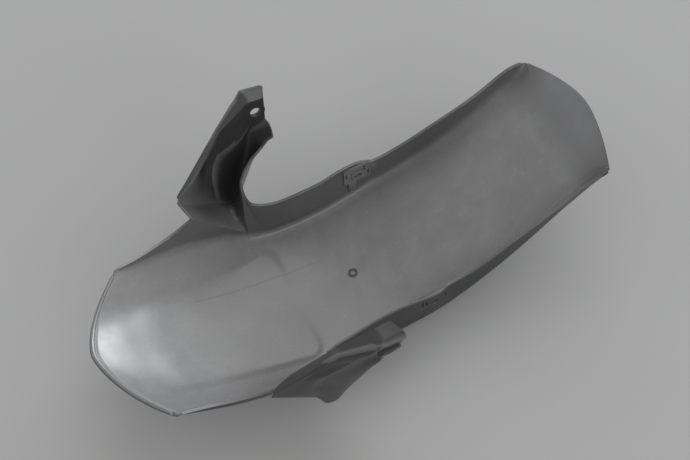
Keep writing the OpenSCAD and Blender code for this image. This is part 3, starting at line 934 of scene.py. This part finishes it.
def mixed(tree, share, a, b):
    made = node(tree, "ShaderNodeMix", {0: share, 6: a, 7: b}, data_type="RGBA")
    return made.outputs[2]


def stretched(tree, vector, place=(0, 0, 0), turn=0.0, scale=(1, 1, 1)):
    """A pattern's coordinates, centred on a place, turned round Z and stretched."""
    made = node(tree, "ShaderNodeMapping",
                {"Vector": vector, "Location": place, "Rotation": (0, 0, turn), "Scale": scale},
                vector_type="TEXTURE")
    return made.outputs["Vector"]


# The scratch: its ends in metres, its waver, the edges of its line and the fades at its ends.
SCRATCH_FROM, SCRATCH_TO = (-0.1666, 0.0357), (-0.0073, 0.0265)
SCRATCH_WAVER, SCRATCH_LINE, SCRATCH_START, SCRATCH_END = 0.0012, (0.0001, 0.0005), 0.02, 0.03
SCRATCH_SHARE = 0.55
# The shaded ring: where its inner side fades in and its outer side fades out, in metres.
RING_IN, RING_OUT, RING_SHARE = (0.0018, 0.0024), (0.0046, 0.0054), 0.85
# Noise in the plastic: scale, detail and roughness of each pattern.
CLOUD, BLOTCH = (11.0, 3.0, 0.5), (48.0, 5.0, 0.62)
STREAK, GRAIN, STREAK_STRETCH = (160.0, 3.0, 0.6), (900.0, 2.0, 0.5), (9, 1, 1)
# The paler front of the crown, painted light where the front faces the light: from and to along X,
# and its share at each.
FRONT_SCUFF_AND_LIGHT, PALE_BLOTCH = (-0.2, -0.06, 0.5, 0.0), 0.08
DARK = (0.02, 0.02, 0.02, 1)
GLOSS_OF_HAZE, RELIEF_STRENGTH, RELIEF_DEPTH = 0.11, 0.2, 0.0001


def scratch(tree, coords):
    """One fine scratch along the crown, as a share that is 1 in its middle."""
    run = Vector(SCRATCH_TO) - Vector(SCRATCH_FROM)
    local = stretched(tree, coords, (*SCRATCH_FROM, 0), math.atan2(run.y, run.x))
    wobble = spread(tree, noise(tree, coords, 22.0), 0.3, 0.7, -SCRATCH_WAVER, SCRATCH_WAVER)
    parts = node(tree, "ShaderNodeSeparateXYZ", {"Vector": local}).outputs
    away = maths(tree, "ABSOLUTE", maths(tree, "SUBTRACT", parts["Y"], wobble))
    line = spread(tree, away, *SCRATCH_LINE, 1.0, 0.0)
    start = spread(tree, parts["X"], 0.0, SCRATCH_START, 0.0, 1.0)
    end = spread(tree, parts["X"], run.length - SCRATCH_END, run.length, 1.0, 0.0)
    return maths(tree, "MULTIPLY", line, maths(tree, "MULTIPLY", start, end))


def gate_ring(tree, coords):
    """The shade in the ring that the gate leaves, round its pale nub."""
    made = node(tree, "ShaderNodeVectorMath", {0: coords, 1: GATE_AT}, operation="DISTANCE")
    away = made.outputs["Value"]
    inner = spread(tree, away, *RING_IN, 0.0, RING_SHARE)
    outer = spread(tree, away, *RING_OUT, 1.0, 0.0)
    return maths(tree, "MULTIPLY", inner, outer)


def plastic_material():
    """Black moulded plastic: satin and clean outside, chalky with scuffs inside the crown, with
    painted light and painted highlights laid into its colour.
    """
    mat = bpy.data.materials.new("moulded_plastic")
    mat.use_nodes = True
    tree = mat.node_tree
    shader = tree.nodes["Principled BSDF"]
    clean, chalk_and_light, scuffed_and_lit = ((*colour, 1) for colour in (
        colours().plastic, colours().haze_and_painted_light, colours().scuff_and_highlight))
    coords = node(tree, "ShaderNodeTexCoord").outputs["Object"]
    haze_and_painted_light = node(tree, "ShaderNodeAttribute", attribute_name=HAZE_AND_PAINTED_LIGHT).outputs["Fac"]
    rim_highlight = node(tree, "ShaderNodeAttribute", attribute_name=RIM_HIGHLIGHT).outputs["Fac"]
    cloud = noise(tree, coords, *CLOUD)
    blotch = noise(tree, coords, *BLOTCH)
    streak = noise(tree, stretched(tree, coords, scale=STREAK_STRETCH), *STREAK)
    grain = noise(tree, coords, *GRAIN)

    # The chalky film with the painted light and painted highlights in it, thinned by clouds,
    # blotches and the grain of the surface.
    veil_and_light = maths(tree, "MULTIPLY", haze_and_painted_light, spread(tree, cloud, 0.3, 0.7, 0.84, 1.0))
    veil_and_light = maths(tree, "MULTIPLY", veil_and_light, spread(tree, blotch, 0.3, 0.7, 0.93, 1.03))
    veil_and_light = maths(tree, "MULTIPLY", veil_and_light, spread(tree, grain, 0.25, 0.75, 0.94, 1.04))
    colour = mixed(tree, veil_and_light, clean, chalk_and_light)

    # The scuffs, laid on more thickly towards the front as painted light where the crown's front
    # faces the light.
    parts = node(tree, "ShaderNodeSeparateXYZ", {"Vector": coords}).outputs
    front = spread(tree, parts["X"], *FRONT_SCUFF_AND_LIGHT)
    patch = spread(tree, maths(tree, "ADD", blotch, cloud), 0.95, 1.4, 0.0, 1.0)
    pale = maths(tree, "MULTIPLY", patch, PALE_BLOTCH)
    pale = maths(tree, "MULTIPLY", haze_and_painted_light, maths(tree, "ADD", front, pale))
    pale = maths(tree, "MULTIPLY", pale, spread(tree, streak, 0.3, 0.7, 0.75, 1.0))
    colour = mixed(tree, pale, colour, scuffed_and_lit)

    # The scratch and the painted shade in the gate's ring, and the painted highlight along the
    # rims.
    line = maths(tree, "MULTIPLY", scratch(tree, coords), SCRATCH_SHARE)
    colour = mixed(tree, maths(tree, "MAXIMUM", line, gate_ring(tree, coords)), colour, DARK)
    painted_rim_highlight = maths(tree, "MULTIPLY", rim_highlight, spread(tree, blotch, 0.3, 0.6, 0.25, 0.65))
    colour = mixed(tree, painted_rim_highlight, colour, scuffed_and_lit)
    tree.links.new(colour, shader.inputs["Base Color"])

    rough = maths(tree, "SUBTRACT", spread(tree, blotch, 0.3, 0.7, 0.34, 0.4),
                  maths(tree, "MULTIPLY", haze_and_painted_light, GLOSS_OF_HAZE))
    tree.links.new(rough, shader.inputs["Roughness"])
    relief = maths(tree, "ADD", maths(tree, "MULTIPLY", grain, 0.5),
                   maths(tree, "MULTIPLY", streak, 0.5))
    relief = maths(tree, "SUBTRACT", relief, line)
    bump = node(tree, "ShaderNodeBump",
                {"Height": relief, "Strength": RELIEF_STRENGTH, "Distance": RELIEF_DEPTH})
    tree.links.new(bump.outputs["Normal"], shader.inputs["Normal"])
    return mat


class FENDER_OT_shell(bpy.types.Operator):
    """Builds the moulded shell with its arms, bolt seats, clips and gate mark"""

    bl_idname = "fender.shell"
    bl_label = "Shell"

    def execute(self, context):
        s = sizes()
        shell = Shell()
        rows, bead, lip = shell.rows()
        inner = rounded(grid_of(rows), shell.main_cols, 1)
        fade = np.ones(inner.shape[1])
        last = shell.main_cols
        fade[last - FADE_COLS:last] = np.linspace(1, FADE_LEFT, FADE_COLS)
        outer = thicken(inner, s.wall + (bead * s.bead_height)[:, None] * fade)
        inner = thicken(inner, -lip[:, None] * fade)
        obj = new_object("fender_shell", shell_mesh(inner, outer))
        edge = rim_points(obj.data)
        bevel = obj.modifiers.new("edge", "BEVEL")
        bevel.width = s.edge_round * MM
        bevel.segments = 2
        bevel.limit_method = "ANGLE"
        bevel.angle_limit = math.radians(BEVEL_ANGLE)
        welded(apply_modifiers(obj), BEVEL_MERGE)
        added = []
        for side in (1, -1):
            added += [seat_solid(shell, side), clip_solid(side)]
        combine(obj, joined("added", added), "UNION")
        cut = [gate_cutter(), *corner_cutters(inner)]
        for side in (1, -1):
            cut += [seat_cutter(shell, side), *clip_cutters(side)]
        welded(combine(obj, joined("cut", cut), "DIFFERENCE"), CUT_MERGE)
        mesh = obj.data
        mesh.shade_smooth()
        mesh.set_sharp_from_angle(angle=math.radians(SHARP_ANGLE))
        paint_haze_and_light(mesh, edge, ridge_highlight_points(shell, outer))
        mesh.materials.clear()
        mesh.materials.append(plastic_material())
        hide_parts(NODE)
        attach(obj, BODY)
        return {"FINISHED"}


FLOOR_SIZE, FLOOR_ROUGHNESS, FLOOR_SPECULAR, WORLD_STRENGTH = 40.0, 0.9, 0.1, 0.68
# The soft boxes: name, place, aim, size in metres, power in watts and colour.
SOFT_BOXES = [
    ("window", (2.73, 1.11, 0.6), (0, 0, 0.05), (0.32, 0.28), 17, (0.93, 0.97, 1)),
    ("sky", (1.3, 1.5, 2.3), (0, 0, 0), (2.2, 2.2), 26, (1, 1, 1)),
    ("far_window", (-2.5, 1.0, 0.85), (0.2, 0, 0.1), (0.7, 0.4), 4.5, (0.95, 0.97, 1)),
    ("fill", (0.4, -2.4, 1.3), (0, 0, 0.05), (1.6, 1.2), 11, (1, 1, 1)),
]
# The camera: focal length and frame width in pixels, its sensor in millimetres, its place.
FOCAL_PIXELS, FRAME_PIXELS, SENSOR = 850, 690, 36
CAMERA_PLACE = Matrix((
    (0.88623076, 0.43955611, -0.14623772, -0.11493064),
    (-0.45933298, 0.79287938, -0.40044413, -0.30844446),
    (-0.06006879, 0.42205771, 0.90457671, 0.80522625),
    (0, 0, 0, 1)))


def soft_box(scene, name, place, aim, size, power, tint):
    """A soft rectangular light that looks at its aim."""
    light = bpy.data.lights.new(name, "AREA")
    light.shape = "RECTANGLE"
    light.size, light.size_y = size
    light.energy = power
    light.color = tint
    obj = bpy.data.objects.new(name, light)
    scene.collection.objects.link(obj)
    obj.location = place
    obj.rotation_euler = (Vector(aim) - Vector(place)).to_track_quat("-Z", "Y").to_euler()


class FENDER_OT_stage(bpy.types.Operator):
    """Sets the plain floor, the soft lights and the camera"""

    bl_idname = "fender.stage"
    bl_label = "Stage"

    def execute(self, context):
        scene = context.scene
        scene.view_settings.view_transform = "Standard"
        bm = bmesh.new()
        bmesh.ops.create_grid(bm, x_segments=1, y_segments=1, size=FLOOR_SIZE)
        mesh = bpy.data.meshes.new("floor")
        bm.to_mesh(mesh)
        bm.free()
        floor = new_object("floor", mesh)
        mat = bpy.data.materials.new("floor")
        mat.use_nodes = True
        shader = mat.node_tree.nodes["Principled BSDF"]
        shader.inputs["Base Color"].default_value = (*colours().floor, 1)
        shader.inputs["Roughness"].default_value = FLOOR_ROUGHNESS
        shader.inputs["Specular IOR Level"].default_value = FLOOR_SPECULAR
        floor.data.materials.append(mat)

        world = bpy.data.worlds.new("studio")
        scene.world = world
        world.use_nodes = True
        back = world.node_tree.nodes["Background"]
        back.inputs["Color"].default_value = (1, 1, 1, 1)
        back.inputs["Strength"].default_value = WORLD_STRENGTH

        for box in SOFT_BOXES:
            soft_box(scene, *box)

        camera = bpy.data.cameras.new("camera")
        camera.sensor_width = SENSOR
        camera.lens = FOCAL_PIXELS / FRAME_PIXELS * SENSOR
        camera.clip_start = 0.01
        obj = bpy.data.objects.new("camera", camera)
        scene.collection.objects.link(obj)
        obj.matrix_world = CAMERA_PLACE
        scene.camera = obj
        return {"FINISHED"}


class FENDER_PT_panel(bpy.types.Panel):
    """Lists the fender's pieces, sizes and colours"""

    bl_idname = "FENDER_PT_panel"
    bl_label = "Fender"
    bl_space_type = "VIEW_3D"
    bl_region_type = "UI"
    bl_category = "Fender"

    def draw(self, context):
        for group in (context.scene.fender_sizes, context.scene.fender_colours):
            box = self.layout.box()
            for name in group.__annotations__:
                box.prop(group, name)
        for op in (FENDER_OT_shell, FENDER_OT_stage):
            self.layout.operator(op.bl_idname)


CLASSES = (FenderSizes, FenderColours, FENDER_OT_shell, FENDER_OT_stage, FENDER_PT_panel)


def register():
    for cls in CLASSES:
        bpy.utils.register_class(cls)
    bpy.types.Scene.fender_sizes = bpy.props.PointerProperty(type=FenderSizes)
    bpy.types.Scene.fender_colours = bpy.props.PointerProperty(type=FenderColours)


def unregister():
    del bpy.types.Scene.fender_colours
    del bpy.types.Scene.fender_sizes
    for cls in reversed(CLASSES):
        bpy.utils.unregister_class(cls)


def main():
    register()
    bpy.ops.fender.stage()
    bpy.ops.fender.shell()
    bpy.context.view_layer.update()


if __name__ == "__main__":
    main()
